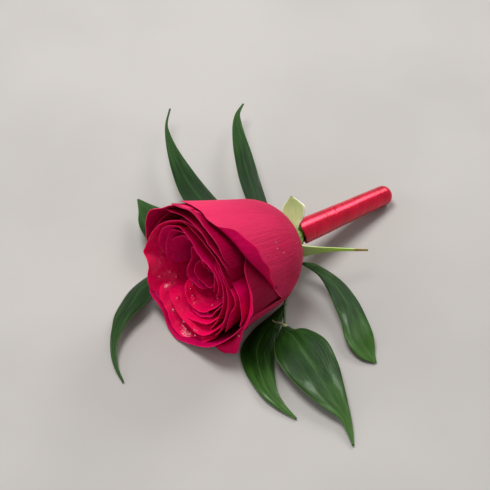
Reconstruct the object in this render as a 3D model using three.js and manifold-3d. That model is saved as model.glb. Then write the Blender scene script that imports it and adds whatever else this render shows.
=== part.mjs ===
// A single-rose boutonniere lying on its side: one rose, two leafy ruscus sprigs,
// floral tape round the stems and a satin ribbon sleeve over the tape.
// Millimetres, +Z up. The rose faces -Y and its stem runs towards +Y.
import * as THREE from 'three';
import { mergeVertices } from 'three/addons/utils/BufferGeometryUtils.js';
import Module from 'manifold-3d';

const wasm = await Module();
wasm.setup();

// ---- driving dimensions ----
const GAP = 0.3; // running gap between pieces that touch
const BLADE = 0.64; // thickness of petals, leaves and sepals
const FLOOR = BLADE / 2; // lowest height of a blade's middle
const INNER_FLOOR = FLOOR + 1.4; // the same for the inner petals, over the guard petals

const PLAN_CENTRE = new THREE.Vector2(-7.9, -12.5); // middle of the part's outline, from above
const ROSE_BASE = new THREE.Vector3(0, 0, 14.1); // centre of the hip, over the surface
const ROSE_TILT = THREE.MathUtils.degToRad(14); // how far the bloom looks up
const CORE_RADIUS = 15.2;
const CORE_TOP = 33;
const CORE_SHOULDER = [[16.1, 19], [14, 28], [8, 32]]; // [radius, height] where the core turns in
const ROOT_HEIGHT = 3; // petals leave the hip here
const ROOT_ANGLE = THREE.MathUtils.degToRad(86); // petals leave the hip almost flat

const HANDLE_START = new THREE.Vector3(-1.3, 6.2, 13.1);
const HANDLE_END = new THREE.Vector3(-4, 49, 2.95);
const RIBBON_RADIUS_START = 4.5;
const RIBBON_RADIUS_END = 3.65;
const RIBBON_WALL = 0.65;
const RIBBON_END_ROUND = 2.6;
const RIBBON_UNDERCUT = [40, 120, 4]; // block that cuts off what would reach below the surface
const TAPE_START = 1.2; // the tape lies this far inside the ribbon's mouth
const ROSE_STEM_RADIUS = 1.6;
const ROSE_STEM_OVER = 1.1; // how far the rose's stem lies above the handle's middle
const SPRIG_STEM_RADIUS = 0.6;
const SPRIG_STEM_SIDE = 1.25; // where the sprigs lie in the handle, sideways and below
const SPRIG_STEM_UNDER = 1.8;
const SPRIG_STEM_DEPTH = 18; // how far the sprigs reach into the handle

// ---- small helpers ----
const { cos, sin, tan, abs, min, max, floor, PI } = Math;
const rad = THREE.MathUtils.degToRad;
const vec = (x, y, z) => new THREE.Vector3(x, y, z);

function ease(x) {
  const c = min(1, max(0, x));
  return c * c * (3 - 2 * c);
}

const mix = (a, b, f) => a * (1 - f) + b * f;

// the rose's own axes: across, up over the bloom, and out along the bloom
const ROSE_ACROSS = vec(1, 0, 0);
const ROSE_UP = vec(0, sin(ROSE_TILT), cos(ROSE_TILT));
const ROSE_AXIS = vec(0, -cos(ROSE_TILT), sin(ROSE_TILT));

function rosePoint(radius, angle, height) {
  return ROSE_BASE.clone()
    .addScaledVector(ROSE_ACROSS, radius * cos(angle))
    .addScaledVector(ROSE_UP, radius * sin(angle))
    .addScaledVector(ROSE_AXIS, height);
}

// the handle's own axes: along the stems, sideways, and over the stems
const HANDLE_AXIS = HANDLE_END.clone().sub(HANDLE_START).normalize();
const HANDLE_LENGTH = HANDLE_END.distanceTo(HANDLE_START);
const HANDLE_OVER = vec(0, 0, 1).addScaledVector(HANDLE_AXIS, -HANDLE_AXIS.z).normalize();
const HANDLE_SIDE = HANDLE_AXIS.clone().cross(HANDLE_OVER);

function handlePoint(along, side, over) {
  return HANDLE_START.clone()
    .addScaledVector(HANDLE_AXIS, along)
    .addScaledVector(HANDLE_SIDE, side)
    .addScaledVector(HANDLE_OVER, over);
}

// ---- solids ----
function toSolid(geometry) {
  const bare = geometry.index ? geometry.clone() : geometry;
  bare.deleteAttribute('normal');
  bare.deleteAttribute('uv');
  const merged = mergeVertices(bare, 1e-4);
  const corners = merged.index.array;
  const kept = [];
  for (let i = 0; i < corners.length; i += 3) {
    const [a, b, c] = [corners[i], corners[i + 1], corners[i + 2]];
    if (a !== b && b !== c && c !== a) kept.push(a, b, c);
  }
  return new wasm.Manifold(new wasm.Mesh({
    numProp: 3,
    vertProperties: new Float32Array(merged.attributes.position.array),
    triVerts: new Uint32Array(kept),
  }));
}

function toMesh(name, solid, material) {
  const mesh = solid.getMesh();
  const geometry = new THREE.BufferGeometry();
  geometry.setAttribute('position', new THREE.BufferAttribute(mesh.vertProperties, 3));
  geometry.setIndex(new THREE.BufferAttribute(mesh.triVerts, 1));
  geometry.computeVertexNormals();
  const result = new THREE.Mesh(geometry, material);
  result.name = name;
  return result;
}

// joins solids in one body: hollows that the joint seals are filled and loose scraps dropped
function fuse(solids) {
  const whole = solids.reduce((joined, next) => joined.add(next));
  const bodies = whole.decompose();
  return bodies.reduce((largest, body) => (body.volume() > largest.volume() ? body : largest));
}

// A closed blade of even thickness about the surface point(s, v), where s runs from -1 to 1
// across it and v from 0 to 1 along it. Both faces are split into triangles alike.
function blade(columns, rows, point) {
  const grid = new THREE.PlaneGeometry(2, 1, columns, rows);
  const flat = grid.attributes.position;
  const middle = [];
  for (let i = 0; i < flat.count; i += 1) {
    middle.push(point(flat.getX(i), flat.getY(i) + 0.5));
  }
  const wide = columns + 1;
  const at = (column, row) => row * wide + column;
  const faces = [[], []];
  for (let row = 0; row <= rows; row += 1) {
    for (let column = 0; column <= columns; column += 1) {
      const across = middle[at(min(column + 1, columns), row)].clone()
        .sub(middle[at(max(column - 1, 0), row)]);
      const along = middle[at(column, max(row - 1, 0))].clone()
        .sub(middle[at(column, min(row + 1, rows))]);
      const normal = across.cross(along).normalize();
      const centre = middle[at(column, row)];
      faces[0].push(centre.clone().addScaledVector(normal, BLADE / 2));
      faces[1].push(centre.clone().addScaledVector(normal, -BLADE / 2));
    }
  }
  const back = flat.count;
  const front = Array.from(grid.index.array);
  const corners = [...front, ...front.map((corner) => corner + back).reverse()];
  const edge = [];
  for (let column = 0; column < columns; column += 1) edge.push(at(column, rows));
  for (let row = rows; row > 0; row -= 1) edge.push(at(columns, row));
  for (let column = columns; column > 0; column -= 1) edge.push(at(column, 0));
  for (let row = 0; row < rows; row += 1) edge.push(at(0, row));
  edge.forEach((here, i) => {
    const next = edge[(i + 1) % edge.length];
    corners.push(next, here, here + back, next, here + back, next + back);
  });
  const geometry = new THREE.BufferGeometry().setFromPoints([...faces[0], ...faces[1]]);
  geometry.setIndex(corners);
  return toSolid(geometry);
}

function tube(points, radius, sides, steps) {
  const section = new THREE.Shape(
    Array.from({ length: sides }, (unused, i) => new THREE.Vector2(
      radius * cos((2 * PI * i) / sides),
      radius * sin((2 * PI * i) / sides),
    )),
  );
  const route = new THREE.CatmullRomCurve3(points);
  return toSolid(new THREE.ExtrudeGeometry(section, { extrudePath: route, steps }));
}

// a turned solid whose profile pairs are [radius, height along the axis]
function turned(profile, sides, origin, side, axis) {
  const lathe = new THREE.LatheGeometry(
    profile.map(([radius, height]) => new THREE.Vector2(radius, height)),
    sides,
  );
  const place = new THREE.Matrix4().makeBasis(side, axis, side.clone().cross(axis));
  place.setPosition(origin);
  return toSolid(lathe.applyMatrix4(place));
}

// ---- the rose ----
const PETAL = {
  W: 60, L: 42, root: 4, z0: ROOT_HEIGHT, lean: 13, flare: 4,
  curlR: 45, curlL: 45, mR: 3, mL: 3, split: 0, bend: 3,
  dropR: 0.2, dropL: 0.2, power: 2.4, twist: 0.9,
};
const CURL_START = 0.72; // share of a petal's rows below its curled margin
const STEPS = 48; // pieces in which a petal's rise is added up

// A petal rises from the hip along an arc, leans out, flares and curls at its margin.
// W: half width in degrees, R: radius of the bowl, L: length to the curl, drop: lower sides.
function petalPoint(petal, s, v) {
  const wide = s < 0 ? petal.W : (petal.WL ?? petal.W);
  const drop = s < 0 ? petal.dropR : petal.dropL;
  const leftward = ease((s - petal.split + 0.3) / 0.6);
  const body = petal.L * (1 - drop * abs(s) ** petal.power);
  const margin = mix(petal.mR, petal.mL, leftward) * (1 - s ** 4) + 0.05;
  const curl = rad(mix(petal.curlR, petal.curlL, leftward));
  const length = v < CURL_START
    ? (body * v) / CURL_START
    : body + (margin * (v - CURL_START)) / (1 - CURL_START);
  const bowl = ((petal.R - petal.root) * ROOT_ANGLE) / (1 - cos(ROOT_ANGLE));
  let radius = petal.root;
  let height = petal.z0;
  const step = length / STEPS;
  for (let i = 0; i < STEPS; i += 1) {
    const run = (i + 0.5) * step;
    const slope = ROOT_ANGLE * max(0, 1 - run / bowl)
      + rad(petal.lean) * ease((run - bowl * 0.4) / (bowl * 0.8))
      + rad(petal.flare) * ease((run - body + 12) / 12)
      + curl * ease((run - body) / petal.bend);
    radius += sin(slope) * step;
    height += cos(slope) * step;
  }
  radius += petal.twist * s * ease(length / (0.7 * (body + margin)));
  const spread = 0.6 + 0.4 * ease(v / 0.5);
  const point = rosePoint(radius, rad(petal.psi) + s * rad(wide) * spread, height);
  point.z = max(point.z, FLOOR + (petal.lift ?? 0));
  return point;
}

const GUARD_PETALS = [
  { psi: 72, W: 120, WL: 95, R: 17.2, L: 46.4, dropR: 0.86, dropL: 0.06, power: 1.88,
    curlR: 160, curlL: 35, mR: 7, mL: 1.2, split: -0.25, bend: 3, lean: 13.5, flare: 2, twist: 0.4 },
  { psi: -30, W: 72, R: 16.2, L: 42, dropR: 0.1, dropL: 0.06, power: 4,
    curlR: 95, curlL: 35, mR: 5, mL: 2.5, split: -0.3, bend: 4, flare: 10, twist: 0, lift: 0.9 },
  { psi: 252, W: 58, R: 18.9, L: 43.5, curlR: 50, curlL: 60, lean: 14.5, flare: 5, twist: 0.3 },
  { psi: 200, W: 56, R: 15.8, L: 44.5, curlR: 35, curlL: 45, lean: 12, flare: 6, lift: 0.7 },
  { psi: 140, W: 58, R: 15.8, L: 46, curlR: 25, curlL: 25, mR: 2, mL: 2, lean: 12.5, flare: 3 },
];
// The inner petals stand out of the core; pairs run from the outermost petal to the innermost.
const INNER_PETALS = 12;
const INNER_RADIUS = [14.6, 2.2];
const INNER_TOP = [44.5, 41.5];
const INNER_LEAN = [13, -2];
const INNER_CURL = [2.2, 0.6]; // mm that the rim turns out
const INNER_FOOT = 24;
const INNER_FIRST = 84; // degrees round the rose
const SPIRAL = 144; // degrees from one petal to the next
const LEAN_PIVOT = ROOT_HEIGHT + 14; // height where the leaning starts

function innerPetalPoint(i, s, v) {
  const inward = i / (INNER_PETALS - 1);
  const radius = mix(...INNER_RADIUS, inward ** 0.85);
  const wide = rad(min(150, 64 + 95 * (1 - radius / INNER_RADIUS[0]) ** 1.2));
  const top = mix(...INNER_TOP, inward) * (1 - 0.06 * abs(s) ** 2.4);
  const height = mix(INNER_FOOT, top, v);
  const curl = mix(...INNER_CURL, inward) * ease((v - CURL_START) / (1 - CURL_START)) ** 2;
  const leaning = (height - LEAN_PIVOT) * tan(rad(mix(...INNER_LEAN, inward)));
  const out = radius + leaning + curl + PETAL.twist * s;
  const point = rosePoint(out, rad(INNER_FIRST + SPIRAL * i) + s * wide, height);
  point.z = max(point.z, INNER_FLOOR);
  return point;
}

const CORE_NECK = 4.2; // radius where the core's underside starts
const CORE_TURNS = 7; // steps of its rounded underside

function bloomCore() {
  const profile = [[0, ROOT_HEIGHT], [CORE_NECK - 0.7, ROOT_HEIGHT]];
  const reach = (CORE_RADIUS - CORE_NECK) / (1 - cos(ROOT_ANGLE));
  for (let i = 0; i <= CORE_TURNS; i += 1) {
    const slope = ROOT_ANGLE * (1 - i / CORE_TURNS);
    profile.push([
      CORE_NECK + reach * (cos(slope) - cos(ROOT_ANGLE)),
      ROOT_HEIGHT + 0.1 + reach * (sin(ROOT_ANGLE) - sin(slope)),
    ]);
  }
  profile.push(...CORE_SHOULDER, [0, CORE_TOP]);
  return turned(profile, 24, ROSE_BASE, ROSE_UP, ROSE_AXIS);
}

function roseBloom() {
  const petals = GUARD_PETALS.map((shape, i) => {
    const petal = { ...PETAL, ...shape };
    return blade(i === 0 ? 14 : 8, 11, (s, v) => petalPoint(petal, s, v));
  });
  for (let i = 0; i < INNER_PETALS; i += 1) {
    petals.push(blade(7, 4, (s, v) => innerPetalPoint(i, s, v)));
  }
  return fuse([bloomCore(), ...petals]);
}

// ---- sepals, hip and stem of the rose ----
// psi is the sepal's place round the rose; its points are [radius, height along the rose, width],
// and side carries its tip round the hip, in mm
const SEPALS = [
  { psi: 90, side: 1.5,
    points: [[2.4, -2.6, 3.4], [5, -1.7, 6.6], [9.3, 0.7, 8], [13.6, 2.9, 6.4], [17.6, 4.5, 1.2]] },
  { psi: 0, side: 0,
    points: [[2.6, 1.3, 3.4], [6.2, 1.2, 4.6], [8.1, -3.2, 3.2], [10.5, -9.2, 1.7], [16.5, -20.6, 0.8]] },
  { psi: -58, side: 0, points: [[2.6, 1.3, 3], [5.8, 1.2, 5.4], [9.6, 0.9, 1.2]] },
  { psi: -122, side: 0, points: [[2.6, 1.3, 3], [7, 1.1, 5.4], [11.6, 0.8, 1.2]] },
  { psi: 168, side: 0, points: [[2.6, 1.3, 3], [6.4, 0.9, 4.6], [9.4, -3, 3.2], [11.4, -9.6, 0.9]] },
];

function sepalPoint(sepal, route, s, v) {
  const [radius, height, width] = route.getPoint(v).toArray();
  const along = rosePoint(radius, rad(sepal.psi), height - 0.06 * width * s * s);
  const sideways = rosePoint(1, rad(sepal.psi) + PI / 2, 0).sub(ROSE_BASE);
  return along.addScaledVector(sideways, 0.5 * s * width + sepal.side * v * v);
}

function sepalBlade(sepal) {
  const route = new THREE.CatmullRomCurve3(sepal.points.map((point) => vec(...point)));
  return blade(4, 10, (s, v) => sepalPoint(sepal, route, s, v));
}

// [radius, height along the rose] of the hip, from its stem up to the petals
const HIP = [[0, -4.4], [1.5, -4.2], [2.8, -3], [4.1, -1.2], [4.3, 1.1], [3.6, 2.3], [0, 2.3]];
const ROSE_STEM_SHORT = 4.2; // the rose's stem stops this far inside the handle's end
const ROSE_STEM_SIDES = 12;
const ROSE_STEM_STEPS = 14;
const SPRIG_STEM_SIDES = 6;
const SPRIG_STEM_STEPS = 26;

function roseStemPoints() {
  return [
    rosePoint(0, 0, -3.4),
    handlePoint(0, 0, ROSE_STEM_OVER),
    handlePoint(SPRIG_STEM_DEPTH, 0, ROSE_STEM_OVER),
    handlePoint(HANDLE_LENGTH - ROSE_STEM_SHORT, 0, 0),
  ];
}

function roseStem() {
  const hip = turned(HIP, 16, ROSE_BASE, ROSE_UP, ROSE_AXIS);
  const stem = tube(roseStemPoints(), ROSE_STEM_RADIUS, ROSE_STEM_SIDES, ROSE_STEM_STEPS);
  return fuse([hip, stem, ...SEPALS.map(sepalBlade)]);
}

// ---- ruscus sprigs ----
const LEAF_ARCH = 0.1; // rise of the middle over the edges, as a share of the half width

// Each leaf follows a few points from its stalk to its tip, given as [x, y, z, width there];
// roll turns the leaf about that line.
function leafPoint(leaf, route, s, v) {
  const centre = route.getPoint(v);
  const along = route.getTangent(v);
  const level = along.clone().cross(vec(0, 0, 1)).normalize();
  const normal = level.clone().cross(along).normalize();
  const roll = rad(leaf.roll ?? 0);
  const across = level.multiplyScalar(cos(roll)).addScaledVector(normal, sin(roll));
  const face = across.clone().cross(along).normalize();
  const place = v * (leaf.points.length - 1);
  const before = min(floor(place), leaf.points.length - 2);
  const width = mix(leaf.points[before][3], leaf.points[before + 1][3], ease(place - before));
  const point = centre.addScaledVector(across, 0.5 * s * width)
    .addScaledVector(face, 0.5 * LEAF_ARCH * width * (1 - s * s));
  point.z = max(point.z, FLOOR);
  return point;
}

function leafBlade(leaf) {
  const route = new THREE.CatmullRomCurve3(leaf.points.map(([x, y, z]) => vec(x, y, z)));
  return blade(4, 16, (s, v) => leafPoint(leaf, route, s, v));
}

const FAR_SPRIG = {
  side: -1,
  stem: [[-5.4, 2.6, 6.8], [-11.5, -2, 5.8], [-18, -13, 4.4], [-22, -26, 3]],
  leaves: [
    { points: [[-8, 0.8, 6.6, 0.8], [-21, 5.2, 7.8, 5.6], [-33, 10.5, 9.2, 7], [-46.2, 17.9, 9.9, 6.3],
      [-55, 23.3, 9.4, 4.7], [-61.8, 28.1, 8.6, 3.2], [-66.6, 32.4, 7.8, 1.6], [-70.3, 38.2, 7, 0.6]] },
    { points: [[-13, -4.5, 5.5, 0.8], [-21, -7.6, 7.4, 7.4], [-30.4, -9.1, 9, 10.6], [-40, -8.1, 10, 10],
      [-53.8, -4, 10, 6.9], [-62.5, -0.5, 9.6, 4.5], [-72.6, 4.7, 8.6, 2.1], [-77.8, 8, 8, 1],
      [-85.5, 15.7, 7, 0.6]] },
    { points: [[-20, -19, 4.2, 0.8], [-24.5, -25.2, 5.2, 7.5], [-33.3, -27.1, 6.6, 12],
      [-39.1, -26.1, 7, 11.8], [-44.9, -24.1, 6.6, 10.2], [-50.4, -22.9, 6, 5.1], [-56.3, -21.6, 5, 0.6]] },
    { points: [[-22, -25, 2.6, 0.8], [-24.2, -36, 2.6, 6.6], [-21.8, -46.8, 2.9, 10.4], [-19, -52.3, 3.1, 10],
      [-16.7, -57.3, 3.4, 7.8], [-13.6, -62.1, 3.4, 5], [-10.3, -66.2, 3.2, 3.2], [-6.2, -69.8, 2.4, 2],
      [-1.3, -72.3, 1.5, 1.2], [4, -73.8, 0.6, 0.6]],
    roll: -24 },
  ],
};

const NEAR_SPRIG = {
  side: 1,
  stem: [[2.6, 2.8, 8], [6, -1, 6], [12, -12.6, 3.2], [20.4, -20.2, 2.6]],
  leaves: [
    { points: [[5, 0.4, 6.6, 0.8], [8.6, 1.9, 7, 3], [13.2, 2.6, 7, 4], [19.3, 2.5, 6.2, 6.2],
      [26.4, 0.8, 5, 7.9], [33.6, -1.9, 3.8, 8.6], [39.9, -5, 2.6, 9.4], [44.6, -6.6, 1.4, 6.8],
      [49.6, -6.8, 0.6, 0.6]] },
    { points: [[13, -13.4, 2.8, 0.8], [15.5, -20, 2, 5], [18, -27, 1.1, 9.3], [21.9, -33.1, 0.8, 11.2],
      [26.3, -36.3, 0.8, 10.2], [32.5, -39.6, 1.2, 7.7], [39, -41.9, 1.6, 4.8], [44.2, -42.2, 1.2, 2.8],
      [50.6, -41.6, 0.6, 0.6]],
    roll: -8 },
    { points: [[20, -20, 2.8, 1.2], [22.8, -21.4, 3.2, 5.4], [26.4, -22.2, 4, 12.7], [32.2, -23.7, 4.4, 17.8],
      [41.1, -26.2, 4.3, 16.8], [49.6, -28.4, 4, 12.4], [55.8, -29.6, 3.2, 8], [61.1, -30.7, 2.4, 3.8],
      [65.4, -32.7, 1.5, 2.1], [69.8, -35.2, 0.6, 0.6]] },
  ],
};

function sprigStemPoints(sprig) {
  return [
    handlePoint(SPRIG_STEM_DEPTH, SPRIG_STEM_SIDE * sprig.side, -SPRIG_STEM_UNDER),
    handlePoint(3, SPRIG_STEM_SIDE * sprig.side, -SPRIG_STEM_UNDER),
    handlePoint(-1.4, 1.9 * sprig.side, -2.9),
    ...sprig.stem.map((point) => vec(...point)),
  ];
}

function sprigSolid(sprig) {
  const way = sprigStemPoints(sprig);
  const stem = tube(way, SPRIG_STEM_RADIUS, SPRIG_STEM_SIDES, SPRIG_STEM_STEPS);
  return fuse([stem, ...sprig.leaves.map(leafBlade)]);
}

// ---- tape and ribbon ----
function ribbonRadius(along) {
  return mix(RIBBON_RADIUS_START, RIBBON_RADIUS_END, along / HANDLE_LENGTH);
}

function onHandle(profile, sides) {
  return turned(profile, sides, HANDLE_START, HANDLE_OVER, HANDLE_AXIS);
}

function roundedEnd(inset) {
  const end = HANDLE_LENGTH - inset;
  const reach = RIBBON_RADIUS_END - inset;
  const curve = RIBBON_END_ROUND - inset;
  const profile = [];
  for (let i = 0; i <= 4; i += 1) {
    const turn = (i / 4) * (PI / 2);
    profile.push([reach - curve * (1 - cos(turn)), end - curve * (1 - sin(turn))]);
  }
  profile.push([0, end]);
  return profile;
}

function ribbonSleeve() {
  const outside = onHandle([[0, 0], [RIBBON_RADIUS_START, 0], ...roundedEnd(0)], 24);
  const bore = onHandle([[0, -1], [ribbonRadius(-1) - RIBBON_WALL, -1], ...roundedEnd(RIBBON_WALL)], 24);
  const below = new THREE.BoxGeometry(...RIBBON_UNDERCUT).translate(0, 0, -RIBBON_UNDERCUT[2] / 2);
  return outside.subtract(bore).subtract(toSolid(below));
}

function floralTape() {
  const inset = RIBBON_WALL + GAP;
  let tape = onHandle(
    [[0, TAPE_START], [ribbonRadius(TAPE_START) - inset, TAPE_START], ...roundedEnd(inset)],
    20,
  );
  const roseWay = roseStemPoints();
  roseWay[3].addScaledVector(HANDLE_AXIS, GAP);
  tape = tape.subtract(tube(roseWay, ROSE_STEM_RADIUS + GAP, ROSE_STEM_SIDES, ROSE_STEM_STEPS));
  for (const sprig of [FAR_SPRIG, NEAR_SPRIG]) {
    const way = sprigStemPoints(sprig);
    way[0].addScaledVector(HANDLE_AXIS, GAP);
    tape = tape.subtract(tube(way, SPRIG_STEM_RADIUS + GAP, SPRIG_STEM_SIDES, SPRIG_STEM_STEPS));
  }
  return tape;
}

// ---- finishes and assembly ----
function finish(color, roughness) {
  return new THREE.MeshStandardMaterial({ color, roughness, metalness: 0 });
}

const part = new THREE.Group();
part.add(toMesh('rose_bloom', roseBloom(), finish(0xb4123f, 0.55)));
part.add(toMesh('rose_stem', roseStem(), finish(0x8fa653, 0.5)));
part.add(toMesh('far_ruscus_sprig', sprigSolid(FAR_SPRIG), finish(0x1f4a1c, 0.3)));
part.add(toMesh('near_ruscus_sprig', sprigSolid(NEAR_SPRIG), finish(0x24521f, 0.3)));
part.add(toMesh('floral_tape', floralTape(), finish(0x4c6b3a, 0.7)));
part.add(toMesh('ribbon_sleeve', ribbonSleeve(), finish(0xb80d2c, 0.3)));

part.position.set(-PLAN_CENTRE.x, -PLAN_CENTRE.y, 0);

export default part;
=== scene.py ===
"""A single-rose boutonniere lying on its side: dewy rose, two ruscus sprigs, tape and ribbon.

Sizes and places are in millimetres in the rose's own plan, and mesh_from() turns them into the
frame's metres. The rose faces -Y and looks up a little; its stem runs towards +Y.
"""
import math
import bpy
import numpy as np
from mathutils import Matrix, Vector


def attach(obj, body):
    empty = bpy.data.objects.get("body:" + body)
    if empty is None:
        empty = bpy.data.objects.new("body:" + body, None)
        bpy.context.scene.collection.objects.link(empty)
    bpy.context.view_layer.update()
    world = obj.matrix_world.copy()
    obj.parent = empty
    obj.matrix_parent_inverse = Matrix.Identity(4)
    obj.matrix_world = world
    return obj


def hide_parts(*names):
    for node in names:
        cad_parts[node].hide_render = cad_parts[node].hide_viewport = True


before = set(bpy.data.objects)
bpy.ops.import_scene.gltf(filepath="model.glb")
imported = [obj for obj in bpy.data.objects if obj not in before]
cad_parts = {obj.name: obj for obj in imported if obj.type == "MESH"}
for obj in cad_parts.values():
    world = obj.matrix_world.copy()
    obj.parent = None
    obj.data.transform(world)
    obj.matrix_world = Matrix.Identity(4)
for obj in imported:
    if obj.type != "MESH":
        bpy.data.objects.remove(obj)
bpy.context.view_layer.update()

# ---- places shared with the solids ----
MM = 0.001
PLAN_CENTRE = np.array([-7.9, -12.5, 0.0])  # middle of the part's outline, from above
ROSE_BASE = np.array([0.0, 0.0, 14.1])  # centre of the hip
ROSE_TILT = math.radians(14)  # how far the bloom looks up
HANDLE_START = np.array([-1.3, 6.2, 13.1])
HANDLE_END = np.array([-4.0, 49.0, 2.95])
RIBBON_RADIUS_START = 4.5
RIBBON_RADIUS_END = 3.65
RIBBON_END_ROUND = 2.6
ROSE_STEM_RADIUS = 1.6
ROSE_STEM_OVER = 1.1  # how far the rose's stem lies above the handle's middle
ROSE_STEM_TOP = -3.4  # where it starts in the hip, along the rose
ROSE_STEM_SHORT = 4.2  # how far it ends short of the handle's end
SPRIG_STEM_RADIUS = 0.6
SPRIG_STEM_SIDE = 1.25  # where the sprigs lie in the handle, sideways and below
SPRIG_STEM_UNDER = 1.8
SPRIG_STEM_DEPTH = 18.0  # how far the sprigs reach into the handle
SPRIG_TURN_OUT = 3.0  # how deep in the handle they start to turn outwards
SPRIG_MOUTH = (-1.4, 1.9, -2.9)  # where they leave it: along, sideways and over

ROSE_ACROSS = np.array([1.0, 0.0, 0.0])
ROSE_UP = np.array([0.0, math.sin(ROSE_TILT), math.cos(ROSE_TILT)])
ROSE_AXIS = np.array([0.0, -math.cos(ROSE_TILT), math.sin(ROSE_TILT)])
HANDLE_LENGTH = float(np.linalg.norm(HANDLE_END - HANDLE_START))
HANDLE_AXIS = (HANDLE_END - HANDLE_START) / HANDLE_LENGTH
HANDLE_SIDE = np.cross(HANDLE_AXIS, [0.0, 0.0, 1.0])
HANDLE_SIDE /= np.linalg.norm(HANDLE_SIDE)
HANDLE_OVER = np.cross(HANDLE_SIDE, HANDLE_AXIS)


def ease(x):
    """A soft step from 0 to 1."""
    held = np.clip(x, 0.0, 1.0)
    return held * held * (3.0 - 2.0 * held)


def mix(a, b, share):
    return a * (1.0 - share) + b * share


def full_turn(steps):
    return np.linspace(0, 2 * math.pi, steps, endpoint=False)


def placed(start, *moves):
    """Points at distances from a start, each distance along its own direction."""
    for distance, direction in moves:
        start = start + np.multiply.outer(distance, direction)
    return start


def rose_point(radius, angle, height):
    """Points round the rose's axis: angle 0 is +X and a quarter turn is up."""
    across, up = radius * np.cos(angle), radius * np.sin(angle)
    return placed(ROSE_BASE, (across, ROSE_ACROSS), (up, ROSE_UP), (height, ROSE_AXIS))


def handle_point(along, side, over):
    """Points along the handle, sideways and over it."""
    return placed(HANDLE_START, (along, HANDLE_AXIS), (side, HANDLE_SIDE), (over, HANDLE_OVER))


def through(marks, values, at):
    """A smooth curve through given values: marks rise, and at holds the places wanted."""
    marks = np.asarray(marks, float)
    values = np.asarray(values, float).reshape(len(marks), -1)
    slopes = np.gradient(values, marks, axis=0)
    i = np.clip(np.searchsorted(marks, at, side="right") - 1, 0, len(marks) - 2)
    gap = (marks[i + 1] - marks[i])[:, None]
    f = (np.asarray(at) - marks[i])[:, None] / gap
    return (
        (2 * f**3 - 3 * f**2 + 1) * values[i]
        + (f**3 - 2 * f**2 + f) * gap * slopes[i]
        + (3 * f**2 - 2 * f**3) * values[i + 1]
        + (f**3 - f**2) * gap * slopes[i + 1]
    )


def route_through(points, steps):
    """Evenly spaced points on a smooth curve through given points."""
    points = np.asarray(points, float)
    reach = np.concatenate([[0.0], np.cumsum(np.linalg.norm(np.diff(points, axis=0), axis=1))])
    return through(reach, points, np.linspace(0.0, reach[-1], steps))


def route_frame(route):
    """Directions of length 1 at each point of a route: ahead, level across it and over it."""
    ahead = np.gradient(route, axis=0)
    ahead /= np.linalg.norm(ahead, axis=1, keepdims=True)
    level = np.cross(ahead, [0.0, 0.0, 1.0])
    level /= np.linalg.norm(level, axis=1, keepdims=True)
    return ahead, level, np.cross(level, ahead)


# ---- meshes ----
BLADE_MARGIN = 0.12  # share of a blade's half width, and of its length, in which it thins


def put(name, data):
    """A new object in the scene."""
    thing = bpy.data.objects.new(name, data)
    bpy.context.scene.collection.objects.link(thing)
    return thing


def mesh_from(name, corners, faces, finish, marks):
    """A smooth piece on the part's one body, from corners in the plan's millimetres."""
    mesh = bpy.data.meshes.new(name)
    places = (corners - PLAN_CENTRE) * MM
    mesh.from_pydata(places.tolist(), [], [[int(i) for i in face] for face in faces])
    for mark, values in marks.items():
        layer = mesh.attributes.new(mark, "FLOAT", "POINT")
        layer.data.foreach_set("value", np.asarray(values, np.float32).ravel())
    mesh.polygons.foreach_set("use_smooth", [True] * len(mesh.polygons))
    mesh.materials.append(finish)
    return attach(put(name, mesh), "root")


def blade_solid(middle, thickness, thin_edge):
    """Closed corners and faces for a thin blade about a grid of middle points.

    Its two sides and its far end thin down to the share thin_edge of its thickness.
    """
    columns, rows, _ = middle.shape
    normal = np.cross(np.gradient(middle, axis=0), np.gradient(middle, axis=1))
    normal /= np.linalg.norm(normal, axis=2, keepdims=True) + 1e-9
    side = np.linspace(-1, 1, columns)[:, None]
    far = np.linspace(0, 1, rows)[None, :]
    margin = np.minimum(1 - np.abs(side), 1 - far)
    half = 0.5 * thickness * mix(thin_edge, 1.0, ease(margin / BLADE_MARGIN))[..., None]
    count = columns * rows
    corner = np.arange(count).reshape(columns, rows)
    squares = [corner[:-1, :-1], corner[1:, :-1], corner[1:, 1:], corner[:-1, 1:]]
    front = np.stack(squares, axis=-1).reshape(-1, 4)
    edge = np.concatenate([corner[:, 0], corner[-1, 1:], corner[-2::-1, -1], corner[0, -2:0:-1]])
    ahead = np.roll(edge, -1)
    rim = np.stack([ahead, edge, edge + count, ahead + count], axis=-1)
    corners = np.concatenate([middle + normal * half, middle - normal * half]).reshape(-1, 3)
    return corners, np.concatenate([front, front[:, ::-1] + count, rim])


def build_blade(name, middle, thickness, finish, thin_edge=0.45, half_width=1.0):
    """A petal, sepal or leaf, marked with its faces and with how far along and across it is.

    half_width turns the share across it into millimetres, for a finish that reads them.
    """
    columns, rows, _ = middle.shape
    corners, faces = blade_solid(middle, thickness, thin_edge)
    across = np.tile(np.repeat(np.linspace(-1, 1, columns), rows), 2)
    marks = {
        "first_face": np.repeat([1.0, 0.0], columns * rows),
        "along": np.tile(np.linspace(0, 1, rows), 2 * columns),
        "across": across,
        "across_mm": across * half_width,
    }
    return mesh_from(name, corners, faces, finish, marks)


def tube_grid(route, radii, sides):
    """Corner grid of a round tube along a route, without twist."""
    _, side, over = route_frame(route)
    turn = full_turn(sides)[None, :, None]
    circle = np.cos(turn) * side[:, None] + np.sin(turn) * over[:, None]
    return route[:, None] + radii[:, None, None] * circle


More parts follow.
